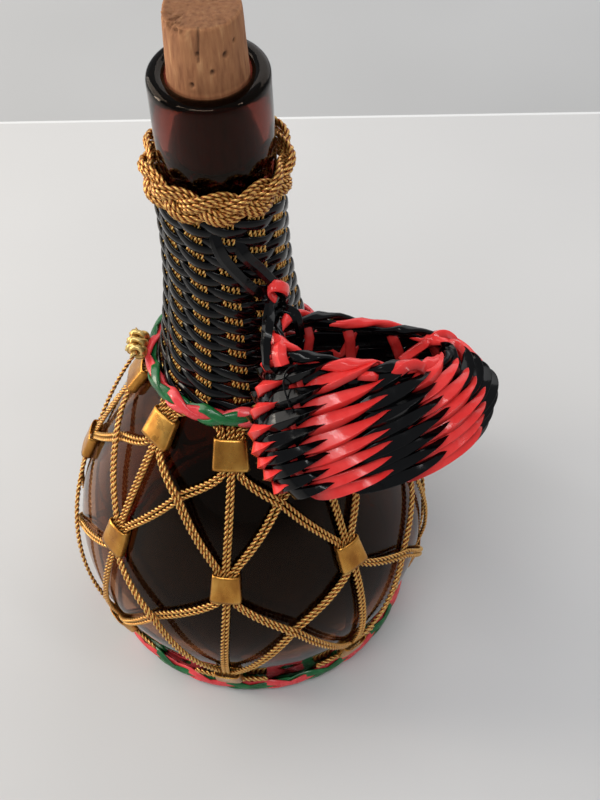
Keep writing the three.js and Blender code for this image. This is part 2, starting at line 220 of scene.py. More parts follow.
# Basket
basket_foot = np.array((37, -40.2, 113.4))
basket_heading = 22.8 * DEG
basket_lean = 26.1 * DEG
basket_droop = -11.8 * DEG
basket_height = 37.5
basket_rows = 8
basket_stitches = 12
mouth_shift = -2.2
mouth_tilt = 6.2
mouth_tilt_side = 159 * DEG
basket_pull = 3.5
foot_rise = 6
hanger_side = 140 * DEG

# Weave: two plies of tube round the wall and the base, with a black strip behind the wall's stitches as
# painted shade in the gaps between them
basket_tube = (5.2, 3.5)
weave_inset = 1.3
weave_start = 0.04
weave_share = 0.94
weave_swell = 1.4
weave_slant = 4.3
weave_steps = 300
weave_facing = (0.12, 0.15)
stitch_crest = -0.3
# Painted shade by a stitch's depth, as (depths, shades): darker where it goes in.
stitch_shade = ((-1, -0.3, 0.4), (0.5, 0.6, 1))
unlike_depth = 0.15
unlike_rise = 0.38
unlike_facing = 0.22
unlike_width = 0.12
unlike_crest = 0.25
base_loops = 3
base_steps = 600
base_height = 0.004
base_inset = 2.0
base_pitch = 3.2
base_tube = (3.8, 1.4)
base_swell = 0.5
base_slant = 0.5
shade_strip_inset = 2.5
shade_strip_section = (6.2, 0.5)

# Stakes: upright tubes inside the wall, tucked under the border, darker all over as painted shade inside the
# basket
stake_section = (3.2, 1.3)
stake_inset = 3.6
stake_tuck = 2.4
stake_tuck_from = 0.92
stake_shade = 0.4
end_thickness = 0.7
end_crest = 0.1
end_step = 0.4

# Border: two tubes wrapped round each other, a strip inside the mouth and a loose thread at a corner
rim_inset = 1.1
rim_lift = 0.9
rim_steps = 700
rim_twists = 6
rim_wrap = 1.15
rim_width = 3.1
rim_swell = 0.5
rim_swell_lag = 0.6
rim_thickness = 1.9
mouth_strip_height = 0.98
mouth_strip_inset = 2.3
mouth_strip = (3.2, 0.9)
thread_stations = [(213, 1.0), (207, 0.95), (205, 0.88), (207, 0.8), (213, 0.7)]
thread_inset = -1.7
thread_section = (0.55, 0.5)

# Hanger: two strips, as (degrees, height, lift) stations on the neck
near_strip = [
    (-10, 190.5, 0.9),
    (-7.5, 187.4, 2.5),
    (-5, 184.8, 3.2),
    (-1.5, 181.6, 3.3),
    (8, 175.6, 3.4),
    (19, 169.6, 3.8),
    (29, 164.6, 4.8),
]
far_strip = [
    (9, 186.6, 0.9),
    (12.5, 183.8, 2.5),
    (16, 181.4, 3.1),
    (27.5, 175, 3.6),
    (36, 169, 4.5),
    (40.5, 165.5, 4.7),
    (44, 161.5, 5.4),
]
strip_section = (3.2, 0.8)
strip_waver = 0.2
strip_wave = 4
strip_step = 0.5
tie_place = (39, 166.2, 4.6)
tie_reach = 3.8
tie_height = 1.7
tie_tilt = 0.4
tie_bore = 0.68
tie_turns = 1.15
tie_slant = 84 * DEG
tie_pitch = 3.4
tie_tube = (3.4, 1.3)


def srgb(r, g, b):
    """A colour as it looks on screen, 0 to 255, as the linear value that a socket takes."""
    parts = [c / 255 for c in (r, g, b)]
    return tuple(c / 12.92 if c <= 0.04045 else ((c + 0.055) / 1.055) ** 2.4 for c in parts) + (1,)


def between(a, b, part):
    return a + (b - a) * part


def turned(angle):
    """The same angle between half a turn back and half a turn on."""
    return (angle + math.pi) % TAU - math.pi


def unit(v):
    return v / np.linalg.norm(v, axis=-1, keepdims=True)


def dots(a, b):
    return np.sum(a * b, axis=-1, keepdims=True)


def catmull(stations, at, tension=0.5, held=False):
    """Places on a smooth curve through stations. The whole part of at counts stations."""
    p = np.asarray(stations, float)
    first = p[0] if held else 2 * p[0] - p[1]
    last = p[-1] if held else 2 * p[-1] - p[-2]
    p = np.vstack([first, p, last])
    i = np.clip(np.floor(at).astype(int), 0, len(p) - 4)
    t = (at - i)[:, None]
    leave = tension * (p[i + 2] - p[i])
    arrive = tension * (p[i + 3] - p[i + 1])
    return (
        (2 * t**3 - 3 * t**2 + 1) * p[i + 1]
        + (t**3 - 2 * t**2 + t) * leave
        + (3 * t**2 - 2 * t**3) * p[i + 2]
        + (t**3 - t**2) * arrive
    )


def distance(at):
    """How far along a run each of its places is."""
    gaps = np.linalg.norm(np.diff(at, axis=0), axis=1)
    return np.concatenate([[0], np.cumsum(gaps)])


def even(at, out, step):
    """The same run with its places a step apart, and how far along each one is."""
    length = distance(at)
    far = np.linspace(0, length[-1], max(2, round(length[-1] / step)) + 1)

    def pick(v):
        return np.stack([np.interp(far, length, v[:, k]) for k in range(3)], axis=1)

    return pick(at), unit(pick(out)), far


def run_frames(at, out, closed=False):
    if closed:
        along = unit(np.roll(at, -1, axis=0) - np.roll(at, 1, axis=0))
    else:
        along = unit(np.gradient(at, axis=0))
    up = unit(out - dots(out, along) * along)
    return up, np.cross(up, along)


def swept(at, up, side, section):
    """Rows of (sideways, outwards) points along a run, from one section or one for each place."""
    return at[:, None] + section[..., 0, None] * side[:, None] + section[..., 1, None] * up[:, None]


class Piece:
    """Points and faces of one visible piece, gathered run by run.

    Each point carries a painted shade: 1 where it is lit in full, as on top of a ply, and lower where shade is
    painted, down to 0 in a groove.
    """

    def __init__(self):
        self.points = []
        self.faces = []
        self.painted_shade = []
        self.count = 0

    def skin(self, rows, painted_shade=None, closed=False):
        """A skin over rows of points. Each row closes on itself; the rows close too or end in caps."""
        n, sides = rows.shape[:2]
        i, j = np.meshgrid(np.arange(n if closed else n - 1), np.arange(sides), indexing="ij")
        k = (j + 1) % sides
        here = self.count + i * sides
        there = self.count + ((i + 1) % n) * sides
        quads = np.stack([here + j, here + k, there + k, there + j], axis=-1).reshape(-1, 4)
        self.faces.extend(quads.tolist())
        if not closed:
            self.faces.append(list(range(self.count + sides - 1, self.count - 1, -1)))
            last = self.count + (n - 1) * sides
            self.faces.append(list(range(last, last + sides)))
        self.points.append(rows.reshape(-1, 3))
        self.painted_shade.append(np.ones(n * sides) if painted_shade is None else np.broadcast_to(painted_shade, (n, sides)).ravel())
        self.count += n * sides

    def sweep(self, at, out, section, painted_shade=None, closed=False):
        self.skin(swept(at, *run_frames(at, out, closed), section), painted_shade, closed)

    def make(self, name, finish, body, slot, *nodes):
        mesh = bpy.data.meshes.new(name)
        mesh.from_pydata((np.concatenate(self.points) * MM).tolist(), [], self.faces)
        # Each point's painted shade goes to the finish as an attribute.
        shading = mesh.attributes.new("painted_shade", "FLOAT", "POINT")
        shading.data.foreach_set("value", np.concatenate(self.painted_shade).astype(np.float32))
        mesh.polygons.foreach_set("use_smooth", np.ones(len(mesh.polygons), dtype=bool))
        mesh.materials.append(finish)
        made = bpy.data.objects.new(name, mesh)
        bpy.context.collection.objects.link(made)
        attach(made, body)
        if nodes:
            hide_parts(*nodes)


# Runs over the glass


def outline_curve():
    """The glass from foot to lip, as (radius, height). Each part's places are shares of that part."""

    def foot(r, z):
        return between(foot_radius, bulb_radius, r), bulb_height * z

    def bulb(r, z):
        return between(shoulder_radius, bulb_radius, r), between(bulb_height, shoulder_height, z)

    def neck(r, z):
        return between(neck_radius, shoulder_radius, r), between(shoulder_height, lip_height, z)

    stations = [
        (foot_radius, 0),
        foot(0.209, 0.06),
        foot(0.297, 0.216),
        foot(0.45, 0.432),
        (bulb_radius, bulb_height),
        bulb(0.93, 0.224),
        bulb(0.667, 0.502),
        bulb(0.349, 0.759),
        (shoulder_radius, shoulder_height),
        neck(0.306, 0.221),
        neck(0, 0.452),
        neck(0, 0.731),
        (lip_radius, lip_height - lip_round),
    ]
    return catmull(stations, np.linspace(0, len(stations) - 1, 10 * len(stations)), held=True)


outline = outline_curve()


def radius_at(z):
    return np.interp(z, outline[:, 1], outline[:, 0])


def around(a, r, z):
    a, r, z = np.broadcast_arrays(a, r, z)
    return np.stack([r * np.sin(a), -r * np.cos(a), z], axis=-1)


def on_glass(a, z, lift):
    """Places lifted off the glass, and the way out there."""
    slope = (radius_at(z + 1) - radius_at(z - 1)) / 2
    out = unit(around(a, 1.0, -slope))
    return around(a, radius_at(z), z) + np.asarray(lift)[..., None] * out, out


def on_foot(a, z, lift):
    """Places round the foot, lifted straight out from the widest glass behind the base plait."""
    out = around(a, 1.0, 0.0 * z)
    return around(a, radius_at(foot_widest) + lift, z), out


def cord(piece, at, out, far, shift=0.0, lay=cord_lay, radius=cord_radius, closed=False, relief=0.44):
    """A cord of two plies twisted together, shifted sideways off the run."""
    _, side = run_frames(at, out, closed)
    around_ply = np.linspace(0, TAU, cord_sides, endpoint=False)
    apart, ply = relief, 1 - relief
    reach = apart * np.abs(np.cos(around_ply)) + np.sqrt(ply**2 - (apart * np.sin(around_ply)) ** 2)
    angle = around_ply + TAU * far[:, None] / lay
    section = radius * reach[:, None] * np.stack([np.cos(angle), np.sin(angle)], axis=-1)
    # Painted shade: 0 in the groove between the plies, 1 on top of each.
    painted_shade = (reach - reach.min()) / np.ptp(reach)
    piece.sweep(at + shift * side, out, section, painted_shade, closed)


def double_cord(piece, at, out, far, apart):
    cord(piece, at, out, far, apart[:, None] / 2)
    cord(piece, at, out, far + cord_stagger * cord_lay, -apart[:, None] / 2)


def oval(width, thickness, sides=10, power=0.8):
    """A flattened tube's section. Width and thickness may change along the run."""
    t = np.linspace(0, TAU, sides, endpoint=False)
    x = np.sign(np.cos(t)) * np.abs(np.cos(t)) ** power
    y = np.sign(np.sin(t)) * np.abs(np.sin(t)) ** power
    width, thickness = np.broadcast_arrays(width, thickness)
    return np.stack([width[..., None] / 2 * x, thickness[..., None] / 2 * y], axis=-1)


def folded(width, thickness, crest=-0.3):
    """A tube pressed flat, with a crease along its outer face. Each value may change along the run."""
    width, thickness, crest = np.broadcast_arrays(width, thickness, crest)
    crest = crest[..., None]
    above, below = np.array([1, 0.9, 0.55, 0.2, 0.06]), np.array([0, 0.06, 0.3, 0.65, 0.92, 1])
    u = np.concatenate([crest + above * (1 - crest), crest - below * (1 + crest)], axis=-1)
    fall = np.concatenate([above, below])
    top = 0.08 + 0.92 * (1 - fall)
    under = np.broadcast_to(np.array([-0.8, -0.3, 0.3, 0.8]), u.shape[:-1] + (4,))
    x = np.concatenate([u, under], axis=-1) / 2
    y = np.broadcast_to(np.concatenate([top, np.full(4, -0.5)]) / 2, x.shape)
    return np.stack([width[..., None] * x, thickness[..., None] * y], axis=-1)


# Light across a folded tube's section: full on its broad outer face, less towards the edges and underneath.
folded_shade = np.array([0.5, 0.75, 1, 1, 1, 1, 1, 0.8, 0.55, 0.3, 0.2, 0.7, 0.7, 0.7, 0.7])


# Finishes


def new_finish(name):
    material = bpy.data.materials.new(name)
    material.use_nodes = True
    nodes = material.node_tree.nodes
    return material, nodes, material.node_tree.links, nodes["Principled BSDF"]


def put(node, values):
    for socket, value in values.items():
        node.inputs[socket].default_value = value


def ramp_of(nodes, stops):
    ramp = nodes.new("ShaderNodeValToRGB")
    while len(ramp.color_ramp.elements) < len(stops):
        ramp.color_ramp.elements.new(0.5)
    for element, (at, colour) in zip(ramp.color_ramp.elements, stops):
        element.position = at
        element.color = colour
    return ramp


def mottle(nodes, links, scale, stops, detail=3.0, stretch=(1, 1, 1)):
    """A noise in the piece's own metres, through a colour ramp of (place, colour) stops."""
    place = nodes.new("ShaderNodeTexCoord")
    fit = nodes.new("ShaderNodeMapping")
    put(fit, {"Scale": stretch})
    cloud = nodes.new("ShaderNodeTexNoise")
    put(cloud, {"Scale": scale, "Detail": detail})
    ramp = ramp_of(nodes, stops)
    links.new(place.outputs["Object"], fit.inputs["Vector"])
    links.new(fit.outputs["Vector"], cloud.inputs["Vector"])
    links.new(cloud.outputs["Fac"], ramp.inputs["Fac"])
    return ramp, cloud


def grey(value):
    return (value, value, value, 1)


def rough_between(nodes, links, shader, low, high, scale, detail=3.0):
    ramp, _ = mottle(nodes, links, scale, [(0.3, grey(low)), (0.7, grey(high))], detail)
    links.new(ramp.outputs["Color"], shader.inputs["Roughness"])


# The painted shade on a piece's points, as a shader value.
def painted_shade_value(nodes):
    painted_shade = nodes.new("ShaderNodeAttribute")
    painted_shade.attribute_name = "painted_shade"
    return painted_shade.outputs["Fac"]


def share_of(nodes, links, value, low, high, kind="LINEAR"):
    """How far a value is from low to high, between 0 and 1."""
    share = nodes.new("ShaderNodeMapRange")
    share.interpolation_type = kind
    put(share, {"From Min": low, "From Max": high})
    links.new(value, share.inputs["Value"])
    return share.outputs["Result"]


def colour_mix(nodes, blend="MIX"):
    mix = nodes.new("ShaderNodeMix")
    mix.data_type = "RGBA"
    mix.blend_type = blend
    return mix


def multiplied(nodes, links, a, b):
    mix = colour_mix(nodes, "MULTIPLY")
    put(mix, {"Factor": 1.0})
    links.new(a.outputs["Color"], mix.inputs["A"])
    links.new(b.outputs["Color"], mix.inputs["B"])
    return mix.outputs["Result"]


def grain(nodes, links, shader, cloud, strength, depth):
    bump = nodes.new("ShaderNodeBump")
    put(bump, {"Strength": strength, "Distance": depth})
    links.new(cloud.outputs["Fac"], bump.inputs["Height"])
    links.new(bump.outputs["Normal"], shader.inputs["Normal"])


def gold_cord_finish(name, groove, middle, top, knee=0.4, metal=0.55):
    """Metal thread with painted shade in the grooves between the plies, a painted highlight on top of each
    ply, and fine painted glints.
    """
    material, nodes, links, shader = new_finish(name)
    # Painted shade and highlight: dark in the grooves, bright on top.
    depth = ramp_of(nodes, [(0.0, groove), (knee, middle), (1.0, top)])
    links.new(painted_shade_value(nodes), depth.inputs["Fac"])
    # Painted glints: a fine noise that dims the colour in specks.
    painted_glint, cloud = mottle(nodes, links, 900, [(0.35, grey(0.7)), (0.65, grey(1.0))], 4.0)
    links.new(multiplied(nodes, links, depth, painted_glint), shader.inputs["Base Color"])
    put(shader, {"Metallic": metal, "Roughness": 0.27})
    grain(nodes, links, shader, cloud, 0.35, 0.0003)
    return material


def tube_finish(name, dark, light, rough=(0.22, 0.42), gloss=0.5):
    """Shiny plastic tube with slight wear, and painted shade along its edges and where it tucks in."""
    material, nodes, links, shader = new_finish(name)
    colour, cloud = mottle(nodes, links, 260, [(0.3, dark), (0.7, light)], 4.0)
    # Painted shade from the points: down to a fifth of the colour.
    shade = ramp_of(nodes, [(0.0, grey(0.2)), (1.0, grey(1.0))])
    links.new(painted_shade_value(nodes), shade.inputs["Fac"])
    links.new(multiplied(nodes, links, colour, shade), shader.inputs["Base Color"])
    rough_between(nodes, links, shader, rough[0], rough[1], 420)
    put(shader, {"Specular IOR Level": gloss})
    grain(nodes, links, shader, cloud, 0.18, 0.0006)
    return material


def brass_finish():
    material, nodes, links, shader = new_finish("brass")
    stops = [(0.3, srgb(156, 100, 40)), (0.5, srgb(194, 136, 60)), (0.72, srgb(222, 170, 86))]
    colour, cloud = mottle(nodes, links, 180, stops, 5.0, (1, 1, 0.3))
    links.new(colour.outputs["Color"], shader.inputs["Base Color"])
    put(shader, {"Metallic": 0.9})
    rough_between(nodes, links, shader, 0.2, 0.42, 300)
    grain(nodes, links, shader, cloud, 0.08, 0.0003)
    return material


def cork_finish():
    material, nodes, links, shader = new_finish("cork")
    stops = [
        (0.3, srgb(138, 87, 53)),
        (0.45, srgb(162, 108, 70)),
        (0.6, srgb(172, 118, 77)),
        (0.75, srgb(190, 139, 95)),
    ]
    colour, cloud = mottle(nodes, links, 900, stops, 6.0, (1, 1, 0.14))
    # Painted shade: dark brown mixed in where the points' painted shade is low, in the pits, the crack, the
    # chipped rim and on the top face.
    mix = colour_mix(nodes)
    put(mix, {"A": srgb(64, 38, 20)})
    links.new(painted_shade_value(nodes), mix.inputs["Factor"])
    links.new(colour.outputs["Color"], mix.inputs["B"])
    links.new(mix.outputs["Result"], shader.inputs["Base Color"])
    put(shader, {"Roughness": 0.85})
    grain(nodes, links, shader, cloud, 0.35, 0.0006)
    return material


def glass_finish():
    """Dark amber glass, redder up the neck, with a painted glow: the bulb's tint grows paler towards its left
    side, where the window's light comes through.
    """
    material, nodes, links, shader = new_finish("amber_glass")
    neck_stops = [(0.3, (0.15, 0.026, 0.018, 1)), (0.7, (0.22, 0.04, 0.027, 1))]
    bulb_stops = [(0.4, (0.1, 0.026, 0.012, 1)), (0.7, (0.27, 0.1, 0.04, 1))]
    neck, _ = mottle(nodes, links, 30, neck_stops, 1.0)
    bulb, _ = mottle(nodes, links, 26, bulb_stops, 1.0)
    place = nodes.new("ShaderNodeTexCoord")
    split = nodes.new("ShaderNodeSeparateXYZ")
    links.new(place.outputs["Object"], split.inputs["Vector"])
    # Painted glow on the bulb's left side.
    glow_share = share_of(nodes, links, split.outputs["X"], -0.016, -0.05, "SMOOTHSTEP")
    painted_glow = colour_mix(nodes)
    put(painted_glow, {"B": (0.34, 0.15, 0.075, 1)})
    links.new(glow_share, painted_glow.inputs["Factor"])
    links.new(bulb.outputs["Color"], painted_glow.inputs["A"])
    height = share_of(nodes, links, split.outputs["Z"], 0.12, 0.2)
    mix = colour_mix(nodes)
    links.new(height, mix.inputs["Factor"])
    links.new(painted_glow.outputs["Result"], mix.inputs["A"])
    links.new(neck.outputs["Color"], mix.inputs["B"])
    links.new(mix.outputs["Result"], shader.inputs["Base Color"])
    put(shader, {"Specular Tint": (1, 0.76, 0.58, 1), "Transmission Weight": 1.0, "IOR": 1.26})
    rough_between(nodes, links, shader, 0.02, 0.06, 60)
    return material


def stage_finish(name, dark, light):
    material, nodes, links, shader = new_finish(name)
    colour, _ = mottle(nodes, links, 6, [(0.3, dark), (0.7, light)], 2.0)
    links.new(colour.outputs["Color"], shader.inputs["Base Color"])
    put(shader, {"Roughness": 0.8, "Specular IOR Level": 0.15})
    return material


gold_cord = gold_cord_finish("gold_cord", srgb(26, 9, 1), srgb(184, 94, 22), srgb(255, 204, 116))
# A lighter copy of the gold cord for the net: painted light where the net sits low in dimmer light.
net_gold_painted_light = gold_cord_finish("net_gold_painted_light", srgb(26, 9, 1), srgb(204, 106, 26), srgb(255, 212, 120))
bright_gold = gold_cord_finish("bright_gold", srgb(140, 92, 34), srgb(232, 180, 92), srgb(255, 224, 146), 0.35)
# A lighter copy for the neck's cords: painted light in the windows that the strips shade.
neck_gold_painted_light = gold_cord_finish("neck_gold_painted_light", srgb(80, 36, 8), srgb(255, 156, 54), srgb(255, 220, 128), metal=0.25)
brass = brass_finish()
cork = cork_finish()
glass = glass_finish()
black_strip = tube_finish("black_strip", srgb(2, 2, 3), srgb(6, 6, 7), (0.06, 0.18), 0.24)
red_tube = tube_finish("red_tube", srgb(246, 50, 48), srgb(255, 74, 70), (0.1, 0.22), 0.36)
plait_red = tube_finish("plait_red", srgb(214, 50, 56), srgb(242, 78, 82), (0.16, 0.3))
green_tube = tube_finish("green_tube", srgb(10, 78, 36), srgb(24, 116, 58), (0.16, 0.3))
basket_plies = (("red", red_tube, "red_tube"), ("black", black_strip, "black_strip"))
plait_plies = (("red", plait_red, "red_tube"), ("green", green_tube, "green_tube"))


# Camera, stage and light


def build_camera():
    level = math.cos(camera_pitch)
    forward = Vector((math.sin(camera_yaw) * level, math.cos(camera_yaw) * level, -math.sin(camera_pitch)))
    right = forward.cross(Vector((0, 0, 1))).normalized()
    up = right.cross(forward)
    across = right * math.cos(camera_roll) + up * math.sin(camera_roll)
    rise = up * math.cos(camera_roll) - right * math.sin(camera_roll)
    data = bpy.data.cameras.new("camera")
    data.lens = camera_lens
    data.sensor_width = camera_sensor
    camera = bpy.data.objects.new("camera", data)
    turn = Matrix((across, rise, -forward)).transposed().to_4x4()
    camera.matrix_world = Matrix.Translation(Vector(camera_at) * MM) @ turn
    bpy.context.collection.objects.link(camera)
    bpy.context.scene.camera = camera


def flat_sheet(name, corners, dark, light):
    mesh = bpy.data.meshes.new(name)
    mesh.from_pydata([Vector(c) * MM for c in corners], [], [tuple(range(len(corners)))])
    mesh.materials.append(stage_finish(name, dark, light))
    sheet = bpy.data.objects.new(name, mesh)
    bpy.context.collection.objects.link(sheet)


def build_stage():
    left, right, front, far = -stage_reach, stage_reach, -stage_reach, stage_reach
    left_back, right_back = (table_back - table_skew * x for x in (left, right))
    table = [(left, front, 0), (right, front, 0), (right, right_back, 0), (left, left_back, 0)]
    table_edge_highlight = [
        (left, left_back, 0),
        (right, right_back, 0),
        (right, right_back + edge_width, -edge_drop),
        (left, left_back + edge_width, -edge_drop),
    ]
    corners = ((left, front), (right, front), (right, far), (left, far))
    beyond = [(x, y, -beyond_drop) for x, y in corners]
    flat_sheet("table", table, srgb(208, 207, 206), srgb(214, 213, 212))
    # The strip along the back edge is painted lighter: a painted highlight.
    flat_sheet("table_edge_highlight", table_edge_highlight, srgb(236, 236, 235), srgb(240, 240, 239))
    flat_sheet("beyond", beyond, srgb(186, 186, 186), srgb(192, 192, 192))


def area_light(name, at, size, power, colour):
    data = bpy.data.lights.new(name, "AREA")
    data.shape = "RECTANGLE"
    data.size, data.size_y = size[0] * MM, size[1] * MM
    data.energy = power
    data.color = colour
    light = bpy.data.objects.new(name, data)
    light.location = Vector(at) * MM
    light.rotation_euler = (Vector(light_aim) - Vector(at)).to_track_quat("-Z", "Y").to_euler()
    bpy.context.collection.objects.link(light)


def build_light():
    world = bpy.data.worlds.new("studio")
    bpy.context.scene.world = world
    world.use_nodes = True
    sky = world.node_tree.nodes["Background"]
    put(sky, {"Color": srgb(*sky_colour), "Strength": sky_strength})
    for lamp in lamps:
        area_light(*lamp)
    bpy.context.scene.view_settings.view_transform = "Standard"


# Bottle


def build_glass():
    rim = [
        (lip_radius - 0.12 * lip_round, lip_height - 0.6 * lip_round),
        (lip_radius - 0.4 * lip_round, lip_height - 0.22 * lip_round),
        (lip_radius - lip_round, lip_height),
        (bore_radius + lip_round, lip_height),
        (bore_radius + 0.35 * lip_round, lip_height - 0.25 * lip_round),
        (bore_radius, lip_height - lip_round),
    ]
    z = outline[:, 1]
    inside = outline[(z > 1.6 * floor_thickness) & (z < lip_height - lip_radius)][::-1]
    wall = np.where(inside[:, 1] < shoulder_height, 1.25, 1.0) * glass_wall
    inner = np.stack([np.maximum(bore_radius, inside[:, 0] - wall), inside[:, 1]], axis=1)
    floor = [
        (0.935 * foot_radius, 1.4 * floor_thickness),
        (0.8 * foot_radius, floor_thickness),
        (0.01, floor_thickness),
    ]
    foot = [(0.01, 0), (0.8 * foot_radius, 0)]
    profile = np.vstack([foot, outline, rim, inner, floor])
    a = np.linspace(0, TAU, glass_sides, endpoint=False)
    rows = around(a[None, :], profile[:, :1], profile[:, 1:])
    piece = Piece()
    piece.skin(rows)
    piece.make("bottle_glass", glass, "bottle", "glass", "glass_bottle")


def crumble(point, size):
    return noise.fractal(Vector(point) / size, 0.8, 2.1, 4)


def cork_stations():
    """Rings of the cork from its foot to the middle of its top, as (share of the radius, height)."""
    bottom, top = lip_height - cork_below, lip_height + cork_above
    foot = [(0.02, bottom), (0.92, bottom), (0.98, bottom + 0.8)]
    side = [(1.0, z) for z in np.linspace(bottom + 2, top - cork_round, cork_levels)]
    crown = [(part, top) for part in (0.93, 0.88, 0.82, 0.75, 0.66, 0.55, 0.4, 0.2, 0.02)]
    return [*foot, *side, (0.97, top - 0.2), *crown]


def cork_point(a, part, z):
    """One worn place on the cork and its painted shade: roughness, crack, pits and chipped rim in turn push it
    in and darken it, the roughness slightly where it sinks in and the rest as painted shade, and the top face
    gets painted shade too.
    """
    top = lip_height + cork_above
    above = max(0.0, (z - lip_height) / cork_above)
    full = between(cork_radius, cork_top_radius, above)
    point = around(a, full * part, z)
    inward, shade_level = 0.0, 1.0
    if z > lip_height:
        rough = crumble((point[0], point[1], 0.5 * point[2]), 2.6)
        inward = 0.1 + 0.08 * rough
        shade_level = min(1.0, max(0.8, 0.96 - 0.12 * rough))
        crack_at = between(*crack_degrees, (top - z) / crack_length) * DEG
        crack = abs(a - TAU * (a > math.pi) - crack_at) * full
        # The crack is cut in and darkened with painted shade.
        if z > top - crack_length and part > 0.9:
            near = max(0.0, 1 - crack / crack_half_width)
            inward += crack_depth * near
            shade_level *= 1 - 0.75 * near
        # Pits are cut in and darkened with painted shade.
        for pit_degrees, pit_z, pit_size, pit_depth in cork_pits:
            gap = abs(turned(a - pit_degrees * DEG)) * full
            near = 1 - math.hypot(gap, (z - pit_z) / pit_stretch) / pit_size
            if near > 0:
                inward += pit_depth * min(1, 2 * near)
                shade_level *= 1 - 0.85 * min(1, 1.6 * near)
        # The chipped rim is bitten in and darkened with painted shade.
        chipped = math.exp(-((turned(a - chip_azimuth) / chip_spread) ** 2))
        drop = max(0.0, (z - (top - chip_height)) / chip_height)
        bite = max(0.0, chipped * drop * (1.5 + 2.4 * crumble(point, 1.3)))
        inward += bite * part
        shade_level *= 1 - 0.45 * min(1, bite) * part**6
    # Painted shade: the top face is darker.
    if z >= top:
        shade_level *= 0.66 + 0.1 * crumble(point, 1.2)
    place = around(a, max(0.01, full * part - inward * part), z)
    if z > top - cork_round:
        place[2] -= 0.25 * (1 + crumble(point, 3.0)) + 0.9 * chipped * part**6
    return place, shade_level


def build_cork():
    angles = [j * TAU / cork_sides for j in range(cork_sides)]
    shading = [[cork_point(a, part, z) for a in angles] for part, z in cork_stations()]
    rows = np.array([[place for place, _ in row] for row in shading])
    painted_shade = np.array([[shade_level for _, shade_level in row] for row in shading])
    piece = Piece()
    piece.skin(rows, painted_shade)
    piece.make("stopper_cork", cork, "stopper", "cork", "cork_stopper")


# Net


def column_azimuth(column, row):
    return net_turn + column * column_step + row * net_lean


def through_clip(column, row, slot):
    reach = clip_height / 2 + clip_way_in
    places = []
    for z in (row_heights[row] + reach, row_heights[row] - reach):
        a = column_azimuth(column, row) + slot * slot_pitch / radius_at(z)
        places.append((a, z, clip_lift, cord_apart_in_clip))
    return places


def under_plait(column, side):
    """Where a cord hangs behind the shoulder plait, evenly spaced, and where it draws in below it."""
    start, spread = column_azimuth(column, -0.3), side * column_step / 3
    high = net_top - net_bight if side else net_top
    return [
        (start + spread, high, cord_lift, cord_apart),
        (start + 0.8 * spread, net_low, cord_lift, cord_apart),
    ]


def crossing(column, side, row):
    over = (side > 0) == (row == 0)
    height = between(row_heights[row], row_heights[row + 1], crossing_down)
    lift = cord_crossing if over else cord_lift
    return (column_azimuth(column + side / 2, row + 0.5), height, lift, cord_apart)


def net_leg(column, side):
    """By way of the next column's middle clip to its own lowest clip, where the cord turns aside and ends."""
    z = row_heights[2] - clip_height / 2 - cut_end_drop

    def end(reach):
        return (column_azimuth(column, 2) + side * reach / radius_at(z), z, cord_lift, cord_apart_in_clip)

    return [
        *under_plait(column, side),
        *through_clip(column, 0, side),
        crossing(column, side, 0),
        *through_clip(column + side, 1, -side),
        crossing(column, side, 1),
        *through_clip(column, 2, side),
        end(cut_end_reach / 2),
        end(cut_end_reach),
    ]


def build_net_cord(label, stations):
    knots = np.array(stations, float) * (bulb_radius, 1, 1, 1)
    run = catmull(knots, np.linspace(0, len(knots) - 1, 40 * len(knots)), net_tension)
    at, out = on_glass(run[:, 0] / bulb_radius, run[:, 1], run[:, 2])
    length = distance(at)
    at, out, far = even(at, out, cord_step)
    piece = Piece()
    double_cord(piece, at, out, far, np.interp(far, length, run[:, 3]))
    piece.make("net_cord_" + label, net_gold_painted_light, "bottle", "gold_cord", "net_" + label)


def build_net():
    for column, letter in enumerate(LETTERS):
        bight = (column_azimuth(column + 0.5, -0.3), net_top, cord_lift, cord_apart)
        build_net_cord("loop_" + letter, [*net_leg(column, 1)[::-1], bight, *net_leg(column + 1, -1)])
        stations = under_plait(column, 0)
        for row in range(len(row_heights)):
            stations += through_clip(column, row, 0)
        stations.append((column_azimuth(column, 2.1), upright_foot, cord_lift, cord_apart_in_clip))
        build_net_cord("upright_" + letter, stations)
        for row in range(len(row_heights)):
            build_clip(column, row, str(row + 1) + letter)


def clip_outline(width):
    """Half the folded plate's outer line from the middle of the front to the seam at the back."""
    w, d, corner = width / 2, clip_depth, clip_corner
    front = [(x, d + clip_bulge * (1 - (x / w) ** 2)) for x in np.linspace(0, w - corner, 7)]

    def turn(cx, cy, start):
        angles = np.linspace(start, start - math.pi / 2, 5)
        return [(cx + corner * math.cos(t), cy + corner * math.sin(t)) for t in angles]

    bend = turn(w - corner, d - corner, math.pi / 2) + turn(w - corner, corner, 0)
    return np.array(front[:-1] + bend + [(clip_seam / 2, 0)])


def inset_line(line, by):
    ahead = unit(np.gradient(line, axis=0))
    return line - by * np.stack([-ahead[:, 1], ahead[:, 0]], axis=1)


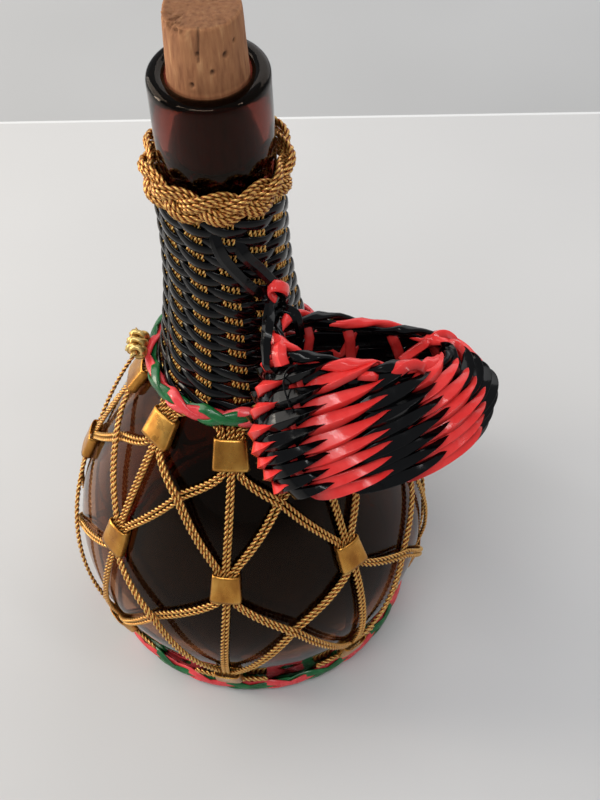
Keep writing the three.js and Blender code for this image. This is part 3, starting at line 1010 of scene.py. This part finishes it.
def build_clip(column, row, label):
    """A plate folded round three double cords, narrower at the top, its front slightly bulged."""
    a, z = column_azimuth(column, row), row_heights[row]
    at, out = on_glass(a, z, clip_stand_off)
    upper, _ = on_glass(a, z + 1, clip_stand_off)
    down = unit(at - upper)
    up = unit(out - np.dot(out, down) * down)
    side = np.cross(up, down)
    skew = chance.uniform(-clip_skew, clip_skew) * DEG
    rows = []
    for part in np.linspace(-0.5, 0.5, 11):
        pinch = 1 + clip_pinch * chance.uniform(-1, 1)
        outer = clip_outline(between(*clip_widths[row], part + 0.5)) * (1, pinch)
        bevel = clip_bevel if abs(part) > 0.49 else 0
        outer = inset_line(outer, -bevel) if bevel else outer
        inner = inset_line(outer, -(clip_wall - bevel))
        mirror = np.array((-1, 1))
        ring = np.vstack([outer, inner[::-1], (inner * mirror)[1:], (outer * mirror)[::-1][:-1]])
        shift = part * clip_height
        centre = at + down * shift + side * shift * math.tan(skew)
        rows.append(centre + ring[:, :1] * side + ring[:, 1:] * up)
    piece = Piece()
    piece.skin(np.array(rows))
    piece.make("net_plate_" + label, brass, "bottle", "brass", "net_clip_" + label)


# Neck


def build_warp():
    """Upright cords of the neck, in groups of four."""
    piece = Piece()
    z = np.linspace(warp_top, warp_foot, 200)
    for group in range(warp_groups):
        for k in range(warp_per_group):
            offset = (k - (warp_per_group - 1) / 2) * warp_spacing
            a = group * TAU / warp_groups + offset / (radius_at(z) + warp_lift)
            at, out, far = even(*on_glass(a, z, np.full(len(z), warp_lift)), warp_step)
            cord(piece, at, out, far + chance.uniform(0, 4), 0, cord_lay, warp_radius)
    piece.make("neck_cords", neck_gold_painted_light, "bottle", "gold_cord", "neck_warp")


def build_winding():
    """Rows of two flat strips twined round the groups of cords, laid as one winding."""
    piece = Piece()
    turns = np.linspace(winding_ends[0], winding_loops + winding_ends[1], winding_loops * 180)
    a = turns * TAU
    z = between(winding_top, winding_foot, turns / winding_loops)
    for ply in (0, 1):
        phase = a * warp_groups / 2 + ply * math.pi
        lift = winding_lift + winding_swell * np.cos(phase)
        at, out = on_glass(a, z - winding_slant * np.sin(phase), lift)
        piece.sweep(at, out, oval(winding_width, winding_thickness, 8, 0.75))
    piece.make("neck_strips", black_strip, "bottle", "black_strip", "neck_winding")


def build_collar():
    """A plait of three strands: one run that goes round three times."""
    turns = np.linspace(0, collar_laps, 2400)
    u = turns * TAU * collar_lobes / collar_laps
    z = collar_height + collar_sway * np.sin(u)
    at, out = on_glass(turns * TAU, z, collar_lift + collar_rise * np.sin(2 * u))
    at, out, far = even(at, out, collar_step)
    lay = far[-1] / round(far[-1] / collar_lay)
    piece = Piece()
    for k in range(collar_cords):
        shift = (k - (collar_cords - 1) / 2) * collar_spacing
        bowed = at - collar_bow * (shift / (1.5 * collar_spacing)) ** 2 * out
        start = far[:-1] + collar_stagger * k
        cord(piece, bowed[:-1], out[:-1], start, shift, lay, collar_cord, True, collar_relief)
    piece.make("collar_cords", gold_cord, "bottle", "gold_cord", "collar_plait")


# Plaits


def plait_strand(piece, plait, seat, lean, start):
    """A tube that spirals along the band, outside on its own half of the band and inside on the other."""
    height, middle, chevrons, size = plait
    a = np.linspace(0, TAU, 1600)
    phase = lean * (math.pi / 2 - chevrons / 2 * (a - start))
    full = 1 + lean * plait_over * np.sin(phase) + lean * plait_early * np.cos(phase)
    z = height + size * plait_half_height * full * np.sin(phase)
    lift = middle + size * plait_half_depth * full * np.cos(phase)
    at, out = seat(a, z, lift)
    centre, straight = seat(a, height + 0.0 * a, middle - plait_core + 0.0 * a)
    at, out, _ = even(at, unit(at - centre + plait_facing * straight), plait_step)
    piece.sweep(at[:-1], out[:-1], oval(size * plait_tube[0], size * plait_tube[1]), closed=True)


def build_plait(label, plait, seat):
    chevrons = plait[2]
    for ply, (colour, finish, slot) in enumerate(plait_plies):
        piece = Piece()
        for lean in (1, -1):
            plait_strand(piece, plait, seat, lean, ply * TAU / chevrons)
        piece.make(label + "_braid_" + colour, finish, "bottle", slot, label + "_plait_" + colour)


def build_knot():
    seat, way = on_glass(knot_azimuth, knot_height, knot_lift)
    along = np.array((math.cos(knot_azimuth), math.sin(knot_azimuth), 0))
    up = unit(np.cross(along, way))
    turns = np.linspace(-knot_tail, knot_loops + knot_tail, 400)
    out = np.cos(turns * TAU)[:, None] * way + np.sin(turns * TAU)[:, None] * up
    from_end = np.minimum(turns + knot_tail, knot_loops + knot_tail - turns)
    tucked = np.clip(from_end / knot_tuck[0], knot_tuck[1], 1)[:, None]
    at = seat + knot_radius * tucked * out + (turns - knot_loops / 2)[:, None] * knot_pitch * along
    at, out, far = even(at, out, knot_step)
    piece = Piece()
    cord(piece, at, out, far, 0, knot_lay, knot_cord)
    piece.make("knot_cord", bright_gold, "bottle", "gold_cord", "gold_knot")


# Basket


def basket_axes():
    along = np.array((math.cos(basket_heading), math.sin(basket_heading), 0))
    out = np.array((math.sin(basket_heading), -math.cos(basket_heading), 0))
    rise = np.array((0, 0, math.cos(basket_lean))) - math.sin(basket_lean) * out
    x = along * math.cos(basket_droop) + rise * math.sin(basket_droop)
    z = rise * math.cos(basket_droop) - along * math.sin(basket_droop)
    return np.array((x, np.cross(z, x), z))


basket_frame = basket_axes()
basket_girth = [(29, 12, 0), (34, 15.4, 0.14), (37.5, 17, 0.5), (32.5, 15.6, 0.82), (27.8, 13.5, 1)]


def basket_local(s, angle, inset):
    """A place on the basket's wall in its own frame. s runs from 0 at the foot to 1 at the mouth."""
    girth = catmull(basket_girth, s * (len(basket_girth) - 1))
    upper, lower = np.maximum(0, 2 * s - 1), np.maximum(0, 1 - 2 * s)
    pull = basket_pull * np.maximum(0, np.cos(angle - hanger_side)) ** 3
    tilt = mouth_tilt * np.cos(angle - mouth_tilt_side)
    drawn_up = foot_rise * np.maximum(0, np.cos(angle)) ** 2
    return np.stack(
        [
            (girth[:, 0] - inset) * np.cos(angle) + mouth_shift * upper,
            (girth[:, 1] - inset) * np.sin(angle),
            girth[:, 2] * basket_height + (pull + tilt) * upper + drawn_up * lower,
        ],
        axis=1,
    )


def from_basket(local):
    return basket_foot + local @ basket_frame


def basket_wall(s, angle, inset):
    """Places on the wall with the way out and the way up the wall."""
    step = 0.004
    low = basket_local(np.clip(s - step, 0, 1), angle, inset)
    high = basket_local(np.clip(s + step, 0, 1), angle, inset)
    before = basket_local(s, angle - step, inset)
    after = basket_local(s, angle + step, inset)
    rise = unit(high - low)
    out = unit(np.cross(unit(after - before), rise))
    return from_basket(basket_local(s, angle, inset)), out @ basket_frame, rise @ basket_frame


def even_rows(part):
    """The wall's s for a part of the way up, measured along the wall."""
    s = np.linspace(0, 1, 200)
    line = basket_local(s, np.full(200, -math.pi / 2), 0.0)
    length = distance(line)
    return np.interp(part, length / length[-1], s)


# One stitch, as (degrees, width, depth, rise): it starts low under the tail of the one before, is widest soon
# after, and ends in a long rising tail that lies on the one after.
stitch = np.array(
    [
        (-180, 0.75, -1.0, 0.0),
        (-150, 0.35, -0.9, -1.02),
        (-128, 0.5, -0.55, -0.92),
        (-105, 0.78, -0.2, -0.74),
        (-75, 1.0, 0.15, -0.53),
        (-40, 0.97, 0.5, -0.28),
        (0, 0.84, 0.8, 0.0),
        (40, 0.66, 0.98, 0.28),
        (75, 0.46, 1.0, 0.53),
        (105, 0.26, 0.8, 0.74),
        (128, 0.12, 0.3, 0.92),
        (150, 0.2, -0.6, 1.02),
        (180, 0.75, -1.0, 0.0),
    ]
)


def weave(piece, at, out, rise, phase, tube, swell, slant):
    """One ply of a row: out over a stake and in behind the next, no two stitches quite alike."""
    turn = (phase / DEG + 180) % 360 - 180
    width, depth, height = (np.interp(turn, stitch[:, 0], stitch[:, k]) for k in (1, 2, 3))
    soft = np.array([1, 2, 3, 2, 1]) / 9
    eased = (np.convolve(np.pad(v, 2, mode="edge"), soft, mode="valid") for v in (width, depth, height))
    width, depth, height = eased
    count = int(np.ptp(phase) / math.pi) + 3

    def unlike(size):
        return np.interp((phase - phase[0]) / math.pi, np.arange(count), size * chance.uniform(-1, 1, count))

    # Painted shade: darker where the stitch goes in behind a stake.
    shade = np.interp(depth, *stitch_shade)
    depth = swell * depth + unlike(unlike_depth)
    height = slant * height + unlike(unlike_rise)
    at = at + depth[:, None] * out + height[:, None] * rise
    tilt = weave_facing[0] + weave_facing[1] * np.sin(phase) + unlike(unlike_facing)
    facing = unit(out + tilt[:, None] * rise)
    width = tube[0] * width * (1 + unlike(unlike_width))
    section = folded(width, tube[1], stitch_crest + unlike(unlike_crest))
    piece.sweep(at, facing, section, shade[:, None] * folded_shade)


def build_basket():
    turns = np.linspace(0, basket_rows, basket_rows * weave_steps)
    angle = turns * TAU
    s = even_rows(weave_start + weave_share * turns / basket_rows)
    wall = basket_wall(s, angle, weave_inset)
    base_turns = np.linspace(0, base_loops, base_steps)
    base_angle = base_turns * TAU
    spiral = base_inset + base_pitch * base_turns
    base_at, _, _ = basket_wall(np.full(base_steps, base_height), base_angle, spiral)
    base = (base_at, np.tile(-basket_frame[2], (base_steps, 1)), unit(base_at - basket_foot))
    for ply, (colour, finish, slot) in enumerate(basket_plies):
        piece = Piece()
        shift = ply * math.pi
        phase = angle * basket_stitches / 2 + shift
        base_phase = base_angle * basket_stitches / 2 + shift
        weave(piece, *wall, phase, basket_tube, weave_swell, weave_slant)
        weave(piece, *base, base_phase, base_tube, base_swell, base_slant)
        # A black strip behind the wall's stitches: painted shade in the gaps between them.
        if ply:
            behind, way, _ = basket_wall(s, angle, shade_strip_inset)
            piece.sweep(behind, way, oval(*shade_strip_section))
        nodes = ("basket_body",) if ply == 0 else ()
        piece.make("basket_weave_" + colour, finish, "basket", slot, *nodes)
    build_stakes()
    build_rim()


# Stake ends folded over the mouth: width, then (degrees, inset, rise above the border's middle) stations.
stake_ends = [
    (4.2, [(271, 0.6, -1.2), (274, -0.6, 0.8), (279, -0.7, 1.9),
           (285, -0.6, 2.1), (290, -0.5, 1.2), (294, 0.6, -1.0)]),
    (4.2, [(50, 5.5, -7.5), (40, 4.6, -4.5), (28, 3.0, -1.0),
           (16, 0.6, 2.4), (9, -1.8, 1.0), (6, -2.4, -2.0)]),
    (2.6, [(251, 0.4, -1.6), (255, -1.3, -0.8), (259, -1.3, -0.8), (262, 0.4, -1.6)]),
    (4.4, [(188, 2.4, -1.4), (190, 1.2, 1.2), (193, -0.4, 1.8), (197, -1.7, 0.2), (200, -1.9, -2.0)]),
    (3.4, [(358, 3.0, -1.0), (354, 1.6, 1.9), (349, -0.6, 2.0), (346, -2.0, -0.2), (345, -2.2, -2.2)]),
]


def build_stakes():
    piece = Piece()
    part = np.linspace(0.02, 1, 50)
    tucked = stake_inset - stake_tuck * np.clip((part - stake_tuck_from) / (1 - stake_tuck_from), 0, 1)
    for k in range(basket_stitches):
        angle = np.full(len(part), k * TAU / basket_stitches)
        at, out, _ = basket_wall(even_rows(part), angle, tucked)
        # The stakes carry painted shade: darker all over, inside the basket.
        piece.sweep(at, out, oval(*stake_section), stake_shade)
    for width, stations in stake_ends:
        places, ways = [], []
        for degrees, inset, rise in stations:
            angle, top = np.array([degrees * DEG]), np.array([1.0])
            places.append(from_basket(basket_local(top, angle, inset)[0] + (0, 0, rise)))
            _, out, up = basket_wall(top, angle, rim_inset)
            across = np.clip((rim_inset - inset) / (2 * rim_inset), -1, 1)
            ways.append(unit(across * out[0] + max(0.15, rise / 3) * up[0]))
        count = np.linspace(0, len(places) - 1, 16 * len(places))
        at, out, _ = even(catmull(places, count), unit(catmull(ways, count)), end_step)
        piece.sweep(at, out, folded(width, end_thickness * width, end_crest), folded_shade)
    piece.make("basket_stakes", red_tube, "basket", "red_tube")


def build_rim():
    """A border of two tubes wrapped round each other along the mouth."""
    angle = np.linspace(0, TAU, rim_steps)
    at, out, rise = basket_wall(np.full(rim_steps, 1.0), angle, rim_inset)
    at = at + rim_lift * rise
    for ply, (colour, finish, slot) in enumerate(basket_plies):
        phase = rim_twists * angle + ply * math.pi
        facing = np.cos(phase)[:, None] * out + np.sin(phase)[:, None] * rise
        run = at + (rim_wrap * np.cos(phase))[:, None] * out + (rim_wrap * np.sin(phase))[:, None] * rise
        section = oval(rim_width + rim_swell * np.cos(phase - rim_swell_lag), rim_thickness)
        piece = Piece()
        piece.sweep(run[:-1], facing[:-1], section[:-1], closed=True)
        if ply:
            spot = catmull(thread_stations, np.linspace(0, len(thread_stations) - 1, 60))
            line, way, _ = basket_wall(spot[:, 1], spot[:, 0] * DEG, thread_inset)
            piece.sweep(line, way, oval(*thread_section, 8))
            inside, way, _ = basket_wall(np.full(rim_steps, mouth_strip_height), angle, mouth_strip_inset)
            piece.sweep(inside[:-1], way[:-1], oval(*mouth_strip), closed=True)
        nodes = ("basket_rim",) if ply else ()
        piece.make("basket_border_" + colour, finish, "basket", slot, *nodes)


# Hanger


def on_rim(degrees, s, inset, rise):
    """A place beside the basket's mouth."""
    local = basket_local(np.array([s]), np.array([degrees * DEG]), inset)[0]
    return from_basket(local + (0, 0, rise))


def strip_run(stations, hooks):
    """From its stations on the neck to the basket, by hooks of (degrees, s, inset, rise, facing)."""
    places, ways = [], []
    for degrees, z, lift in stations:
        at, out = on_glass(degrees * DEG, z, lift)
        places.append(at)
        ways.append(out)
    for degrees, s, inset, rise, way in hooks:
        places.append(on_rim(degrees, s, inset, rise))
        ways.append(unit(np.array(way, float)))
    count = np.linspace(0, len(places) - 1, 500)
    return even(catmull(places, count), unit(catmull(ways, count)), strip_step)


near_hooks = [
    (181, 1.0, -1.6, 4.4, (-0.2, -0.3, 0.9)),
    (184, 1.0, -2.8, 1.2, (-0.5, -0.7, 0.5)),
    (186, 0.95, -2.6, 0, (-0.7, -0.7, 0.1)),
    (187, 0.88, -1.8, 0, (-0.7, -0.7, 0)),
    (188, 0.82, 0.8, 0, (-0.7, -0.7, 0)),
]
far_hooks = [
    (140, 1.0, -1.6, 3.58, (0, -0.8, 0.6)),
    (140, 1.0, 1.2, 3.78, (0.2, -0.6, 0.8)),
    (139, 1.0, 4.0, 2.08, (0.4, -0.7, 0.5)),
    (137, 1.0, 4.6, -4.0, (0.5, -0.8, 0.2)),
]


def build_hanger():
    piece = Piece()
    for stations, hooks in ((near_strip, near_hooks), (far_strip, far_hooks)):
        at, out, far = strip_run(stations, hooks)
        width = strip_section[0] + strip_waver * np.sin(far / strip_wave)
        piece.sweep(at, out, folded(width, strip_section[1]))
    piece.make("hanger_strips", black_strip, "basket", "black_strip", "hanger_strap")
    degrees, z, lift = tie_place
    seat, _ = on_glass(degrees * DEG, z, lift)
    near = np.argmin(np.linalg.norm(at - seat, axis=1))
    up, side = run_frames(at, out)
    build_tie(at[near], up[near], side[near])


def build_tie(at, up, side):
    """A hollow tube curled once round the strips, open at its ends."""
    ahead = np.cross(side, up)
    side = math.cos(tie_slant) * side + math.sin(tie_slant) * ahead
    along = np.cross(side, up)
    up, along = unit(between(up, -along, tie_tilt)), unit(between(along, up, tie_tilt))
    turns = tie_turns * (np.linspace(0, 1, 90) - 0.5)
    angle = turns * TAU + math.pi / 2
    across, over = np.cos(angle)[:, None], np.sin(angle)[:, None]
    out = unit(across * side / tie_reach + over * up / tie_height)
    run = at + tie_reach * across * side + tie_height * over * up + (turns * tie_pitch)[:, None] * along
    frames = run_frames(run, out)
    outer = oval(*tie_tube, 14, 0.9)
    piece = Piece()
    shells = [swept(run, *frames, outer), swept(run, *frames, tie_bore * outer)[::-1]]
    piece.skin(np.concatenate(shells), closed=True)
    piece.make("hanger_curl", red_tube, "basket", "red_tube", "hanger_tie")


build_camera()
build_stage()
build_light()
build_glass()
build_cork()
build_net()
build_warp()
build_winding()
build_collar()
build_plait("shoulder", shoulder_plait, on_glass)
build_plait("base", base_plait, on_foot)
build_knot()
build_basket()
build_hanger()
